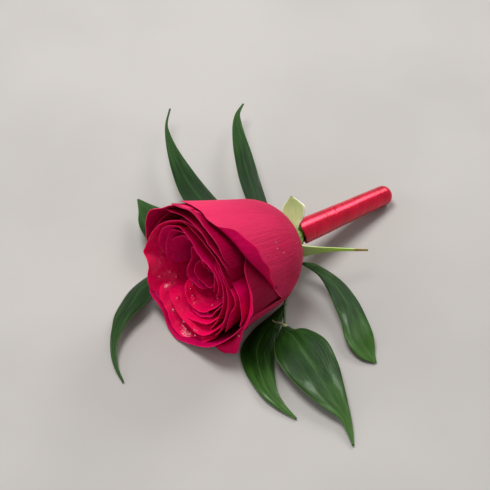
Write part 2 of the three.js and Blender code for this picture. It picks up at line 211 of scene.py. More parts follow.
def closed_rings(rings):
    """Closed corners and faces from rings of points, with both ends capped."""
    count, sides, _ = rings.shape
    ends = [rings[:1].mean(axis=1), rings[-1:].mean(axis=1)]
    corners = np.concatenate([rings.reshape(-1, 3), *ends])
    pairs = [(i, (i + 1) % sides) for i in range(sides)]
    last = (count - 1) * sides
    faces = [
        (ring + i, ring + j, ring + sides + j, ring + sides + i)
        for ring in range(0, last, sides) for i, j in pairs
    ]
    for i, j in pairs:
        faces += [(last + sides, j, i), (last + sides + 1, last + i, last + j)]
    return corners, faces


# ---- finishes ----
LEAF_EDGE = "7FA05A"
STEM_SPECK = "B9C48C"


class Value:
    """What varies over a surface. Sums on a number add Math nodes."""

    def __init__(self, finish, socket):
        self.finish, self.socket = finish, socket

    def _math(self, operation, *terms):
        sockets = dict(enumerate(terms))
        return self.finish.node("Math", 0, {"operation": operation}, sockets)

    def __add__(self, other):
        return self._math("ADD", self, other)

    def __sub__(self, other):
        return self._math("SUBTRACT", self, other)

    def __rsub__(self, other):
        return self._math("SUBTRACT", other, self)

    def __mul__(self, other):
        return self._math("MULTIPLY", self, other)

    __radd__ = __add__
    __rmul__ = __mul__

    def size(self):
        return self._math("ABSOLUTE", self)

    def wave(self):
        return self._math("SINE", self)

    def between(self, low, high):
        """0 up to low, 1 from high on, and a soft step between them."""
        ends = {"Value": self, "From Min": low, "From Max": high}
        step = {"interpolation_type": "SMOOTHSTEP"}
        return self.finish.node("MapRange", "Result", step, ends)


def tone(code):
    """A linear colour from a six-digit screen colour."""
    parts = [int(code[i:i + 2], 16) / 255 for i in (0, 2, 4)]
    return (*[p / 12.92 if p <= 0.04045 else ((p + 0.055) / 1.055) ** 2.4 for p in parts], 1.0)


class Finish:
    """A procedural material, built round one Principled shader."""

    def __init__(self, name):
        self.material = bpy.data.materials.new(name)
        self.material.use_nodes = True
        self.tree = self.material.node_tree
        self.shader = self.tree.nodes["Principled BSDF"]

    def node(self, kind, output, settings, sockets):
        """Any node: its settings first, then the values or links of its sockets."""
        made = self.tree.nodes.new(f"ShaderNode{kind}")
        for key, value in settings.items():
            setattr(made, key, value)
        self.fill(made, sockets)
        return Value(self, made.outputs[output])

    def fill(self, made, sockets):
        for key, value in sockets.items():
            if isinstance(value, Value):
                self.tree.links.new(value.socket, made.inputs[key])
            else:
                made.inputs[key].default_value = value

    def mark(self, name):
        """A value that the mesh carries at its corners."""
        return self.node("Attribute", "Fac", {"attribute_name": name}, {})

    def noise(self, scale, detail=3.0, rough=0.5, at=None):
        """Noise in the piece's own coordinates, in metres, or at values given by at."""
        place = at or self.node("TexCoord", "Object", {}, {})
        sockets = {"Vector": place, "Scale": scale, "Detail": detail, "Roughness": rough}
        return self.node("TexNoise", "Fac", {}, sockets)

    def streaks(self, x, y, z=0.0, detail=3.0, rough=0.5):
        """Noise at values that vary over the surface."""
        at = self.node("CombineXYZ", "Vector", {}, {"X": x, "Y": y, "Z": z})
        return self.noise(1.0, detail, rough, at)

    def blend(self, first, second, share):
        """A colour between two others, each a screen colour's code or a blend."""
        first, second = [tone(c) if isinstance(c, str) else c for c in (first, second)]
        settings = {"data_type": "RGBA", "clamp_factor": True}
        return self.node("Mix", 2, settings, {0: share, 6: first, 7: second})

    def bump(self, height, strength, distance):
        sockets = {"Height": height, "Strength": strength, "Distance": distance}
        return self.node("Bump", "Normal", {}, sockets)

    def done(self, **sockets):
        """Sets the shader's sockets, each named with _ for a space, and gives the material."""
        self.fill(self.shader, {key.replace("_", " "): value for key, value in sockets.items()})
        return self.material


def petal_finish(name, outer_foot, outer_rim, inner_deep, inner_rim, edge, wet=0.0):
    """Velvet rose petal: fine veins from foot to rim, its own colour on each face, and the edge
    colour along the rim as a painted highlight.

    A wet petal has soft lumps and patches of gloss.
    """
    petal = Finish(name)
    along, across = petal.mark("along"), petal.mark("across_mm")
    outside = petal.mark("first_face")
    veins = petal.streaks(across * 2.6, along * 7.0, detail=5.0, rough=0.65)
    clouds = petal.streaks(across * 0.14, along * 3.4, outside * 7.0)
    rise = along + (veins - 0.5) * 0.2 + (clouds - 0.5) * 0.35
    outer = petal.blend(outer_foot, outer_rim, rise.between(0.1, 0.75))
    inner = petal.blend(inner_deep, inner_rim, rise.between(0.3, 0.95))
    body = petal.blend(inner, outer, outside)
    veined = petal.blend(body, inner_deep, veins.between(0.5, 0.75) * 0.3)
    # lip: the edge colour along the rim, a painted highlight where the rim catches light
    lip = along.between(0.97, 1.0) * clouds.between(0.35, 0.65) * 0.35
    creases = petal.streaks(across * 0.9, along * 3.0, detail=4.0, rough=0.6)
    grain = petal.noise(700.0, rough=0.6)
    lumps = petal.noise(330.0)
    relief = veins * 0.5 + creases * 1.2 + grain * 0.5 + lumps * (wet * 9.0)
    return petal.done(
        Base_Color=petal.blend(veined, edge, lip),
        Roughness=0.45 + clouds * 0.15,
        Normal=petal.bump(relief, 0.45, 0.0006),
        Coat_Weight=petal.noise(150.0, detail=2.0).between(0.5, 0.62) * wet,
        Coat_Roughness=0.12,
        Subsurface_Weight=0.3,
        Subsurface_Radius=(1.0, 0.06, 0.25),
        Subsurface_Scale=0.0012,
        Specular_IOR_Level=0.06,
    )


def leaf_finish(name, dark, light, underside, tip):
    """Waxy ruscus leaf: parallel veins, a paler edge and a soft gloss."""
    leaf = Finish(name)
    along, across = leaf.mark("along"), leaf.mark("across")
    top = leaf.mark("first_face")
    drift = leaf.streaks(across * 2.0, along * 4.0)
    fine = leaf.streaks(across * 16.0, along * 2.5)
    mottle = drift.between(0.3, 0.8) * 0.6 + fine.between(0.3, 0.8) * 0.3
    body = leaf.blend(dark, light, mottle)
    rib = 1.0 - across.size().between(0.02, 0.06)
    tipped = leaf.blend(body, tip, (along + (drift - 0.5) * 0.6).between(0.4, 1.1) * 0.4)
    ribbed = leaf.blend(tipped, tip, rib * 0.15)
    edged = leaf.blend(ribbed, LEAF_EDGE, across.size().between(0.95, 1.0) * 0.4)
    return leaf.done(
        Base_Color=leaf.blend(underside, edged, top),
        Roughness=0.3 + fine * 0.16,
        Normal=leaf.bump(fine * 0.9 - rib * 0.8 + drift * 3.0, 0.3, 0.0006),
        Coat_Weight=drift.between(0.5, 0.64) * 0.24,
        Coat_Roughness=0.2,
        Specular_IOR_Level=0.1,
    )


def sepal_finish(name, foot, middle, margin, tip, tip_start):
    """Pale rose sepal with cream edges and a dry tip."""
    sepal = Finish(name)
    along, across = sepal.mark("along"), sepal.mark("across")
    fibres = sepal.streaks(across * 9.0, along * 3.0, detail=4.0)
    body = sepal.blend(foot, middle, along.between(0.1, 0.7) + (fibres - 0.5) * 0.6)
    edged = sepal.blend(body, margin, across.size().between(0.8, 0.98) * 0.9)
    dry = (along + (fibres - 0.5) * 0.08).between(tip_start - 0.03, tip_start + 0.04)
    return sepal.done(
        Base_Color=sepal.blend(edged, tip, dry),
        Roughness=0.5 + fibres * 0.15,
        Normal=sepal.bump(fibres, 0.4, 0.0006),
        Subsurface_Weight=0.12,
        Subsurface_Radius=(0.5, 1.0, 0.2),
        Subsurface_Scale=0.001,
    )


def stem_finish(name, dark, light):
    """Green stem with fine lengthwise fibres and a few pale specks."""
    stem = Finish(name)
    along, across = stem.mark("along"), stem.mark("across")
    fibres = stem.streaks(across * 12.0, along * 4.0, detail=4.0)
    specks = stem.noise(900.0, detail=2.0).between(0.62, 0.72)
    body = stem.blend(dark, light, fibres.between(0.3, 0.75))
    return stem.done(
        Base_Color=stem.blend(body, STEM_SPECK, specks * 0.35),
        Roughness=0.4 + fibres * 0.15,
        Normal=stem.bump(fibres, 0.35, 0.0005),
    )


def satin_finish(name, shade, body):
    """Woven satin: a soft long gloss, fine threads and small creases."""
    satin = Finish(name)
    along, across = satin.mark("along_mm"), satin.mark("across_mm")
    threads = (along * 14.0).wave() * 0.5 + (across * 22.0).wave() * 0.5
    pulls = satin.streaks(along * 0.1, across * 0.22, detail=2.0)
    return satin.done(
        Base_Color=satin.blend(shade, body, pulls.between(0.25, 0.7)),
        Roughness=0.24 + pulls * 0.06,
        Metallic=0.5,
        Normal=satin.bump(threads * 0.012 + pulls * 0.7, 0.2, 0.0008),
    )


def tape_finish(name, shade, body):
    """Crepe floral tape, waxed and slightly crinkled."""
    tape = Finish(name)
    along, across = tape.mark("along_mm"), tape.mark("across_mm")
    crepe = tape.streaks(along * 1.6, across * 0.5, detail=4.0, rough=0.65)
    return tape.done(
        Base_Color=tape.blend(shade, body, crepe.between(0.3, 0.7)),
        Roughness=0.62 + crepe * 0.15,
        Normal=tape.bump(crepe, 0.6, 0.0006),
    )


def water_finish():
    return Finish("dew").done(
        Base_Color=(1.0, 0.9, 0.93, 1.0), Roughness=0.03, IOR=1.4, Transmission_Weight=1.0
    )


def floor_finish():
    floor = Finish("pale_floor")
    cast = floor.noise(9.0, detail=4.0)
    return floor.done(
        Base_Color=floor.blend("A5A19D", "AEAAA6", cast.between(0.3, 0.7)),
        Roughness=0.85,
        Specular_IOR_Level=0.2,
    )


# ---- the rose's petals ----
ROOT_ANGLE = math.radians(86)  # petals leave the hip almost flat
PETAL_THICKNESS = 0.36
PETAL_FLOOR = 0.3  # lowest height of a petal's middle
LONGEST_RUN = 90.0  # from the hip outwards along a petal, and the steps that measure it
RUN_STEPS = 900
MARGIN_SHARE = 0.28  # share of a petal's rows in its curled margin
MARGIN_RIPPLE = 0.08  # share by which the margin's width varies
FOOT_SPREAD = 0.6  # how far round a petal reaches at its foot, as a share of its rim
RISE_WAVES = (4.3, 9.1)  # waves of a rim up and down, in and out: radians to either side
REACH_WAVES = (5.1, 10.7)
DENT_WAVES = (7.0, 5.0)  # the same for the hollows, round the petal and along it
RAGGED_WAVES = 31.0
PETAL_COLUMNS = 44
BODY_ROWS = 30
MARGIN_ROWS = 10
PETAL_SEED = 7
# rim: angle round the rose in degrees, height along it and distance from its axis, in mm, and
# where they differ round the petal, its margin's width and curl
# root, foot: radius and height where it starts; bowl: radius where it stands up; lean, curl:
# degrees; swing: how late it opens; margin, bend: the margin's width, and how much of it the
# curl takes; lift: height over its neighbours on the floor; wave, dents, round: unevenness of
# its rim, hollows in its body, fall of its rim's ends; fine: how many times the columns
PETAL = dict(
    bowl=15.0, root=4.0, foot=3.0, lean=12.0, swing=1.5, margin=1.0, curl=40, bend=3.0, lift=0.0,
    wave=0.35, dents=0.5, round=1.5, fine=1, finish="heart",
)
PETALS = {
    "outer_top": dict(bowl=17.2, lean=13.5, bend=2.2, wave=0.12, finish="blush", fine=2, round=0.6,
        rim=[
        (-46, 8, 16.2, 0.5, 40), (-32, 12.8, 17.5, 0.6, 60), (-18, 17.4, 18.3, 0.9, 90),
        (-4, 21.6, 18.9, 1.2, 110), (8, 25.2, 19.4, 1.6, 130), (17, 27.8, 20, 2.2, 140),
        (26, 30.6, 20.8, 3.2, 145), (34, 33.2, 21.3, 4.4, 145), (41, 35.4, 21.8, 5.3, 145),
        (50, 37.5, 22.2, 5.5, 145), (60, 38.9, 22.5, 5, 140), (67, 39.8, 22.6, 4, 125),
        (74, 40.6, 22.7, 2.4, 90), (81, 41.5, 22.8, 1.2, 50), (88, 42.2, 22.9, 0.8, 30),
        (97, 41.4, 23.1, 0.8, 30), (107, 41, 23.2, 0.8, 25), (119, 40.4, 23.6, 0.8, 25),
        (134, 39, 24, 0.8, 25)]),
    # its outside takes the shaded tones: darker crimson, painted shade under outer_top's fold
    "outer_right": dict(bowl=16.2, lean=13, lift=0.9, finish="shaded", fine=2, rim=[
        (-104, 32, 23, 1, 80), (-80, 35.5, 25, 2, 90), (-60, 36.6, 24.6, 3.4, 95),
        (-50, 36.8, 24, 4.8, 95), (-42, 36.6, 23.4, 4.8, 95), (-30, 36.8, 22.4, 3.2, 95),
        (-18, 36.8, 22.2, 2.4, 90), (-5, 37, 22.2, 2.6, 90), (8, 37.2, 21.9, 2.8, 90),
        (20, 37.5, 21.4, 2.6, 85), (34, 37.5, 20.5, 2.2, 80), (48, 37, 20.2, 1.6, 70)]),
    "outer_bottom": dict(bowl=18.9, lean=14.5, curl=55, margin=0.8, finish="blush", fine=2, rim=[
        (-150, 40, 24), (-135, 42.5, 25.3), (-116, 43, 22.9), (-101, 43.3, 24.4), (-92, 43.6, 24.6),
        (-80, 43.5, 24), (-62, 43.3, 23.4), (-42, 42.5, 23), (-26, 40.5, 22.6), (-12, 37.8, 21.4)]),
    "outer_left": dict(bowl=15.8, lean=12, lift=0.7, finish="blush", rim=[
        (146, 40, 22.2), (166, 40.4, 22.4), (181, 40.4, 22.6), (197, 40.4, 22.2), (206, 40, 21.6),
        (216, 40.2, 22.6), (226, 41, 24), (238, 41, 22.8), (248, 38, 20.5)]),
    "outer_back": dict(bowl=15.8, lean=12.5, curl=20, margin=0.7, finish="blush", wave=0.2, rim=[
        (96, 42.5, 22.3), (112, 43.4, 23.2), (127, 44, 23.4), (137, 44.6, 23.4), (144, 44.8, 24.2),
        (150, 44.7, 25), (158, 44.4, 24.9), (166, 44, 24.2), (174, 43.4, 23.4), (184, 42.6, 23),
        (192, 41.4, 23), (200, 40, 22.6)]),
    # fold_top, fold_next and fold_inner take the dark tones: painted shade in the fold
    "fold_top": dict(bowl=15.2, lean=10, curl=60, margin=1.2, wave=0.3, round=0.5, finish="dark",
        rim=[
        (40, 41.5, 18.5), (55, 43.2, 20.2), (61, 43.4, 20.8), (69, 43.6, 21.3), (80, 43.6, 21.2),
        (88, 43.6, 21.3), (98, 43.7, 22.3), (104, 43.8, 22.8), (113, 44, 23), (122, 44.2, 24),
        (130, 43.6, 24.4)]),
    "fold_next": dict(bowl=14.6, lean=9, curl=50, margin=1.0, wave=0.3, round=0.5, finish="dark",
        rim=[
        (24, 40, 15.5), (42, 43, 18.6), (60, 43.6, 18.4), (72, 43.8, 18), (81, 43.8, 18.6),
        (92, 43.8, 19.1), (102, 43.8, 19.4), (112, 43.9, 20), (123, 44, 21), (132, 44.2, 22.4),
        (137, 44, 23.4)]),
    "fold_inner": dict(bowl=12.5, lean=8, curl=60, margin=1.3, finish="dark", rim=[
        (8, 40, 15.5), (26, 42, 16.6), (44, 42.6, 16.4), (62, 42.6, 15.6), (78, 42.8, 15.4),
        (96, 43, 16), (112, 43, 17.4), (128, 43, 18.6)]),
    # face_left, face_low, face_bottom, lip and tongue take the bright tones: painted light for
    # light shining through the thin face petals
    "face_left": dict(bowl=9, lean=8, swing=3.2, curl=15, margin=0.6, wave=0.15, dents=4, round=0.6,
        finish="bright", fine=2, rim=[
        (84, 42.4, 16), (99, 43, 17.4), (116, 43.4, 18.5), (131, 43.5, 18.5), (144, 43.4, 19),
        (157, 43.3, 20), (169, 43.2, 21), (180, 43.1, 22), (190, 43, 23.2), (195, 43, 24.2),
        (199, 43, 22.8), (206, 43, 22.1), (213, 43, 23.3), (220, 43, 24.3), (226, 42.5, 24.6),
        (232, 41, 22.8)]),
    "face_low": dict(bowl=10, lean=10, swing=3, curl=30, margin=0.8, dents=2.5, finish="bright",
        rim=[
        (222, 40.5, 22.5), (232, 42, 21.6), (242, 42, 21.4), (250, 42.2, 22), (258, 42.4, 23.2),
        (266, 42.4, 23.9), (278, 42, 23.8), (292, 41.6, 22.8), (306, 41, 21.5)]),
    "face_bottom": dict(bowl=8, lean=8, swing=2.6, curl=35, margin=0.9, dents=2, finish="bright",
        rim=[
        (230, 40, 20.4), (240, 41.2, 18), (252, 41.5, 17.5), (262, 41.5, 17.8), (272, 41.5, 18.1),
        (280, 41.5, 18.8), (286, 41.5, 19.8), (295, 41.5, 20), (307, 41.5, 19.2), (319, 41.5, 18.4),
        (335, 41.5, 17.4), (348, 41.3, 16.2), (360, 41, 14.8)]),
    "lip": dict(bowl=7.5, lean=8, swing=2.4, curl=35, margin=0.8, finish="bright", rim=[
        (246, 39, 17), (262, 40.2, 17.4), (278, 40.5, 16.8), (290, 40.5, 16.6), (303, 40.5, 16),
        (320, 40.5, 15.2), (336, 40.5, 14.7), (349, 40.2, 13.8), (360, 39.5, 12.4)]),
    "lip_inner": dict(bowl=7, lean=7, swing=2.4, curl=30, margin=0.6, rim=[
        (262, 38.6, 15), (276, 39.4, 15.2), (290, 39.6, 14.8), (306, 39.6, 14), (322, 39.4, 13.2),
        (338, 39, 12.2)]),
    "tongue": dict(bowl=4.5, lean=6, swing=2.6, curl=40, margin=0.8, dents=2, finish="bright", rim=[
        (226, 37.4, 11), (236, 38.6, 11.2), (246, 39, 11.8), (256, 39, 12.9), (266, 39, 13.6),
        (276, 39, 13.6), (288, 39, 13), (304, 39, 12.3), (320, 39, 11.9), (338, 38.6, 11.6)]),
    "ring_2": dict(bowl=7.5, lean=6, swing=2.2, curl=35, margin=0.9, wave=0.15, fine=2, rim=[
        (-14, 40.5, 10), (-2, 42.4, 11.4), (10, 42.8, 12.6), (25, 42.8, 12.8), (39, 42.8, 12),
        (54, 42.8, 10.8), (64, 42.8, 9.8), (80, 42.8, 9.4), (94, 42.8, 10.4), (106, 42.8, 12.6),
        (116, 42.8, 14.3), (124, 42.8, 16), (137, 42.8, 17), (150, 42.7, 17.9), (162, 42.6, 18.2),
        (173, 42.4, 18.2), (183, 42, 17.8), (192, 41.4, 17)]),
    "ring_3": dict(bowl=6, lean=6, swing=2.4, curl=30, margin=0.7, rim=[
        (116, 39.5, 11), (128, 40.6, 13), (138, 40.8, 14.6), (150, 40.8, 16), (160, 40.6, 16.8),
        (172, 40.2, 16.6), (184, 39.8, 16.6), (196, 39.2, 17), (206, 38.4, 17.2)]),
    "ring_4": dict(bowl=5, lean=5, swing=2.4, curl=30, margin=0.6, rim=[
        (124, 38.4, 9.6), (134, 39, 11), (144, 39.2, 13), (156, 39.2, 14.4), (170, 39, 15.2),
        (182, 38.6, 15.8), (194, 38, 16.2), (206, 37.2, 16)]),
    "hollow_rim": dict(bowl=4, lean=4, swing=2.2, curl=45, margin=0.7, wave=0.15, rim=[
        (138, 36.4, 7.6), (151, 37, 8.6), (158, 37, 10.4), (168, 37, 12.4), (180, 37, 13.8),
        (190, 37, 14.6), (201, 36.6, 14.8), (212, 36, 14.2)]),
    "side_3": dict(bowl=13.4, lean=9, curl=70, margin=1.5, wave=0.2, finish="side", rim=[
        (-24, 38, 21.4), (-9, 39, 21.4), (-4, 39.2, 21.2), (6, 39.2, 20), (14, 39.4, 18.6),
        (21, 39.4, 17), (29, 39.4, 15.8), (40, 39.6, 15)]),
    "side_2": dict(bowl=12.5, lean=8, curl=65, margin=1.3, wave=0.15, finish="side", rim=[
        (-44, 38.8, 20.2), (-31, 40, 19.5), (-23, 40.2, 18.4), (-8, 40.2, 17.8), (2, 40.2, 18.4),
        (8, 40.2, 18.2), (16, 40.2, 16.8), (25, 40.4, 15.3), (37, 40.4, 14.3), (48, 40.4, 13.6)]),
    "side_1": dict(bowl=11.5, lean=8, curl=60, margin=1.2, wave=0.2, finish="side", rim=[
        (-56, 40.4, 20.6), (-40, 41, 19.2), (-27, 41.2, 18), (-12, 41.2, 17.1), (1, 41.2, 16.5),
        (16, 41.2, 15.6), (30, 41.2, 14.2), (46, 41, 12.6), (62, 40.6, 11.4)]),
    "side_inner": dict(bowl=10, lean=7, curl=50, margin=1.0, wave=0.25, rim=[
        (-60, 40.8, 18.6), (-42, 41.4, 16.8), (-26, 41.6, 15.6), (-8, 41.8, 15), (10, 42, 14.6),
        (28, 42, 13.8), (44, 42, 12.4), (60, 41.6, 11)]),
    "heart_near": dict(bowl=5, lean=3, curl=30, margin=0.7, wave=0.5, rim=[
        (-48, 37.2, 6), (-20, 38.6, 7), (4, 39.4, 7.8), (28, 39.6, 8), (50, 39.4, 7.4),
        (72, 38.8, 6.6), (96, 38, 5.6)]),
    "heart_fall": dict(bowl=3, root=2.2, lean=5, swing=2, curl=20, margin=0.5, wave=0.6, rim=[
        (96, 36.6, 5.4), (118, 37.2, 6.8), (140, 37, 8.6), (160, 36.4, 9), (182, 36.2, 8.6),
        (204, 36.8, 9.4), (226, 37.2, 9.8), (248, 36.8, 8.4), (272, 36.2, 7.4)]),
    "heart_fall_inner": dict(bowl=2.4, root=1.8, lean=4, swing=1.8, curl=20, margin=0.4, wave=0.6,
        rim=[
        (170, 35.4, 4.6), (196, 36.2, 6), (216, 36.4, 6.8), (238, 36.2, 6.2), (262, 35.8, 5.6),
        (288, 36, 5.8), (312, 36, 5.2), (336, 35.6, 4.4)]),
    "heart_turn": dict(bowl=2.2, root=1.6, lean=3, curl=40, margin=0.6, wave=0.4, rim=[
        (60, 36.6, 4), (88, 37, 4.4), (116, 36.8, 4.2), (146, 36.2, 3.6), (180, 35.8, 3),
        (214, 35.4, 2.6)]),
}
HEART_PETALS = 3
HEART_RADIUS = (3.2, 1.2)  # distance from the axis, outermost and innermost
HEART_TOP = (35.5, 33.0)
HEART_HALF_TURN = (80, 125)  # how far round each reaches to either side, in degrees
HEART_LEAN = (5, 2)
HEART_START = 20  # middle of the first one, in degrees
SPIRAL = 137.5  # degrees from one petal to the next


def meridian(petal):
    """Run, radius and height of a petal's rise from the hip, before its rim is set."""
    run = np.linspace(0.0, LONGEST_RUN, RUN_STEPS)
    arc = (petal["bowl"] - petal["root"]) * ROOT_ANGLE / (1 - math.cos(ROOT_ANGLE))
    slope = ROOT_ANGLE * np.clip(1 - run / arc, 0, 1)
    slope += math.radians(petal["lean"]) * ease((run - 0.4 * arc) / (0.8 * arc))
    step = run[1]
    radius = petal["root"] + np.concatenate([[0.0], np.cumsum(np.sin(slope[:-1]) * step)])
    height = petal["foot"] + np.concatenate([[0.0], np.cumsum(np.cos(slope[:-1]) * step)])
    return run, radius, height


def rim_waves(side, slow, quick, starts):
    """A slow wave across a petal and a smaller, quicker one on it."""
    return 0.6 * np.sin(slow * side + starts[0]) + 0.4 * np.sin(quick * side + starts[1])


def petal_surface(petal, draw):
    """Grid of a petal's middle surface: columns round the rose, rows from foot to rim."""
    side = np.linspace(-1, 1, PETAL_COLUMNS * petal["fine"] + 1)
    plain = (petal["margin"], petal["curl"])
    marks = np.array([(*point, *plain)[:5] for point in petal["rim"]], float)
    turn = mix(marks[0, 0], marks[-1, 0], (side + 1) / 2)
    crest_height, crest_radius, reach, curl = through(marks[:, 0], marks[:, 1:], turn).T
    ripple = draw.uniform(0, 2 * math.pi, 6)
    crest_height = crest_height - petal["round"] * np.abs(side) ** 10
    crest_height += petal["wave"] * rim_waves(side, *RISE_WAVES, ripple[:2])
    crest_radius = crest_radius + petal["wave"] * rim_waves(side, *REACH_WAVES, ripple[2:4])

    run, radius, height = meridian(petal)
    crest_run = np.interp(crest_height, height, run)
    push = crest_radius - np.interp(crest_run, run, radius)
    rise = np.linspace(0, 1, BODY_ROWS)
    body_run = crest_run[:, None] * rise
    body_radius = np.interp(body_run, run, radius) + push[:, None] * rise ** petal["swing"]
    body_height = np.interp(body_run, run, height)
    round_it, along_it = DENT_WAVES
    hollow = np.sin(round_it * side + ripple[4])[:, None] * np.sin(along_it * rise + ripple[5])
    body_radius += petal["dents"] * (hollow * rise * (1 - rise))

    ragged = 1 + MARGIN_RIPPLE * np.sin(RAGGED_WAVES * side + ripple[5])
    reach = reach * (1 - np.abs(side) ** 6) * ragged + 0.05
    share = np.linspace(0, 1, MARGIN_ROWS + 1)
    length = reach[:, None] * share
    middle = 0.5 * (length[:, 1:] + length[:, :-1])
    opening = np.arctan2(
        body_radius[:, -1] - body_radius[:, -2], body_height[:, -1] - body_height[:, -2]
    )
    bend = opening[:, None] + np.radians(curl)[:, None] * ease(middle / petal["bend"])
    step = np.diff(length)
    margin_radius = body_radius[:, -1:] + np.cumsum(np.sin(bend) * step, axis=1)
    margin_height = body_height[:, -1:] + np.cumsum(np.cos(bend) * step, axis=1)

    all_radius = np.concatenate([body_radius, margin_radius], axis=1)
    all_height = np.concatenate([body_height, margin_height], axis=1)
    along = np.concatenate([rise * (1 - MARGIN_SHARE), 1 - MARGIN_SHARE * (1 - share[1:])])
    spread = mix(FOOT_SPREAD, 1.0, ease(along / 0.5))
    centre = 0.5 * (turn[0] + turn[-1])
    angle = np.radians(centre + (turn - centre)[:, None] * spread)
    points = rose_point(all_radius, angle, all_height)
    points[..., 2] = np.maximum(points[..., 2], PETAL_FLOOR + petal["lift"])
    return points


def heart_petal(i):
    """One of the tightly rolled petals in the rose's heart."""
    inward = i / (HEART_PETALS - 1)
    radius = mix(*HEART_RADIUS, inward**0.9)
    top = mix(*HEART_TOP, inward)
    half = mix(*HEART_HALF_TURN, inward)
    middle = HEART_START + SPIRAL * i
    rim = [
        (middle + half * share, top - 0.8 * share * share, radius + 0.5 * share)
        for share in (-1, -0.5, 0, 0.5, 1)
    ]
    return dict(
        rim=rim, bowl=radius * 0.9, root=min(3.0, radius * 0.6), curl=25, margin=0.5, wave=0.2,
        lean=mix(*HEART_LEAN, inward),
    )


def build_petals(finishes):
    """Builds every petal and gives their middle surfaces, for the drops to lie on."""
    draw = np.random.default_rng(PETAL_SEED)
    heart = {f"heart_{i + 1}": heart_petal(i) for i in range(HEART_PETALS)}
    surfaces = {}
    for name, shape in {**PETALS, **heart}.items():
        petal = {**PETAL, **shape}
        middle = petal_surface(petal, draw)
        turn = math.radians(petal["rim"][-1][0] - petal["rim"][0][0])
        piece = build_blade(
            f"petal_{name}", middle, PETAL_THICKNESS, finishes[f"petal_{petal['finish']}"],
            half_width=0.5 * turn * petal["bowl"],
        )
        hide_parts("rose_bloom")
        surfaces[name] = middle
    return surfaces


# ---- dew ----
# drops on a petal: share of the way across it, share of the way from foot to rim, radius in mm
DEW = {
    "face_left": [(0.82, 0.72, 0.45), (0.91, 0.72, 0.6), (0.9, 0.66, 0.5), (0.94, 0.64, 0.6),
                  (0.83, 0.59, 0.4)],
    "face_low": [(0.05, 0.72, 0.6), (0.36, 0.74, 0.8), (0.5, 0.72, 0.75), (0.73, 0.74, 0.6),
                 (0.61, 0.74, 0.5)],
    "face_bottom": [(0.39, 0.72, 0.7), (0.11, 0.74, 0.6)],
    "lip_inner": [(0.45, 0.74, 0.5)],
    "tongue": [(0.3, 0.74, 0.95), (0.18, 0.74, 0.45), (0.14, 0.72, 0.45), (0.57, 0.64, 0.6),
               (0.66, 0.72, 0.4), (0.27, 0.64, 0.4)],
    "heart_fall": [(0.86, 0.74, 0.4)],
    "outer_right": [(0.51, 0.92, 0.45)],
    "fold_top": [(0.07, 0.72, 0.3)],
    "side_3": [(0.64, 0.67, 0.3)],
    "outer_top": [(0.51, 0.49, 0.25), (0.54, 0.47, 0.25), (0.47, 0.48, 0.2)],
}
DEW_OUTSIDE = ("fold_top", "side_3", "outer_top")  # petals whose drops lie on their outside
FINE_DEW = ("face_left", "face_low", "face_bottom", "tongue", "lip", "ring_2", "heart_fall")
FINE_DROPS = 9  # small drops scattered on each of these petals
FINE_RANGES = [(0.2, 0.95), (0.5, 0.74), (0.14, 0.32)]  # what their places and radii lie between
DEW_SEED = 23
# a drop's shape, as shares of its radius: half width, and height over the petal
DROP_PROFILE = [(0.85, -0.3), (1.0, 0.0), (0.92, 0.24), (0.7, 0.46), (0.38, 0.6), (0.12, 0.64)]
DROP_SIDES = 12


def build_dew(surfaces, finish):
    """All the drops as one piece."""
    draw = np.random.default_rng(DEW_SEED)
    drops = [(name, *drop) for name, places in DEW.items() for drop in places]
    for name in FINE_DEW:
        for _ in range(FINE_DROPS):
            drops.append((name, *[draw.uniform(*ends) for ends in FINE_RANGES]))
    turn = full_turn(DROP_SIDES)[:, None]
    all_corners, all_faces, count = [], [], 0
    for name, across, along, radius in drops:
        middle = surfaces[name]
        i, j = round(across * (middle.shape[0] - 2)), round(along * (middle.shape[1] - 2))
        side = middle[i + 1, j] - middle[i, j]
        out = np.cross(side, middle[i, j + 1] - middle[i, j])
        out /= np.linalg.norm(out) * (1 if name in DEW_OUTSIDE else -1)
        side /= np.linalg.norm(side)
        circle = np.cos(turn) * side + np.sin(turn) * np.cross(side, out)
        centre = middle[i, j] + out * (0.5 * PETAL_THICKNESS)
        rings = [centre + radius * (half * circle + over * out) for half, over in DROP_PROFILE]
        corners, faces = closed_rings(np.array(rings))
        all_corners.append(corners)
        all_faces += [tuple(corner + count for corner in face) for face in faces]
        count += len(corners)
    mesh_from("dew_drops", np.concatenate(all_corners), all_faces, finish, {})


# ---- sepals, hip and stem ----
# psi is a sepal's place round the rose; its points are (radius, height along the rose, width),
# and turn swings its left edge forwards, in degrees
SEPALS = {
    "broad": dict(psi=120, turn=26, finish="sepal", points=[
        (2.2, -2.2, 2.6), (4.6, -1.7, 4.6), (7.6, -2, 7.8), (10, -2.6, 8.4), (12.2, -3, 5),
        (14.2, -3.1, 0.6)]),
    "long": dict(psi=0, turn=0, finish="sepal_long", points=[
        (2.6, 1.3, 3.4), (6.2, 1.2, 4.8), (8.1, -3.2, 3.2), (10.5, -9.2, 1.7), (16.5, -20.6, 0.7)]),
    "right": dict(psi=-58, turn=0, finish="sepal", points=[
        (2.6, 1.3, 3), (5.8, 1.2, 5.4), (9.6, 0.9, 1.2)]),
    "under": dict(psi=-122, turn=0, finish="sepal", points=[
        (2.6, 1.3, 3), (7, 1.1, 5.4), (11.6, 0.8, 1.2)]),
    "left": dict(psi=168, turn=0, finish="sepal", points=[
        (2.6, 1.3, 3), (6.4, 0.9, 4.6), (9.4, -3, 3.2), (11.4, -9.6, 0.9)]),
}
SEPAL_THICKNESS = 0.45
SEPAL_CUP = 0.1  # how far a sepal's edges bend back, as a share of its width
